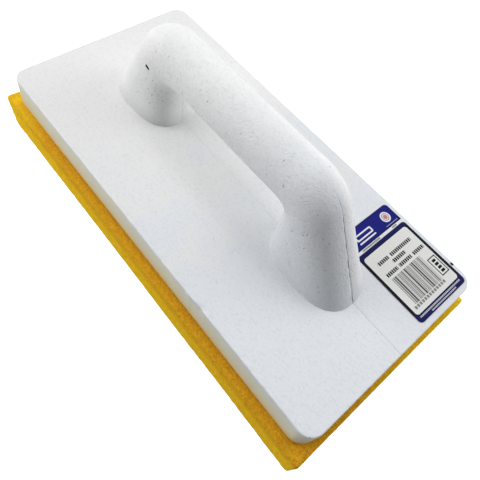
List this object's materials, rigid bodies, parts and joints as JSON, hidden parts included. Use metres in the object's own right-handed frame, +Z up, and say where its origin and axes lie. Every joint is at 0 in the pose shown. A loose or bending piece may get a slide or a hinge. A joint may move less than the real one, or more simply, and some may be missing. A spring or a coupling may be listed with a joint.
{
  "type": "grout float",
  "caption": "Rectangular hand float: a moulded foam plate with an integral D-shaped grip and a thick bonded sponge pad, used to wash and smooth grout.",
  "frame": {"origin": "middle of the sponge's underside, which is the face the float works and rests on", "axes": "+X along the length towards the end with the label, +Y across towards the side with the label, +Z up through the grip"},
  "size_m": [0.28, 0.14, 0.107],
  "materials": {
    "sponge_foam": "coarse open-cell foam",
    "contact_adhesive": "tacky film",
    "hard_foam": "satin moulded foam skin with fine pits",
    "label_stock": "satin printed sticker"
  },
  "bodies": {
    "root": {"sponge_pad": "sponge_foam", "adhesive_layer": "contact_adhesive", "float_body": "hard_foam", "label": "label_stock"}
  },
  "joints": []
}
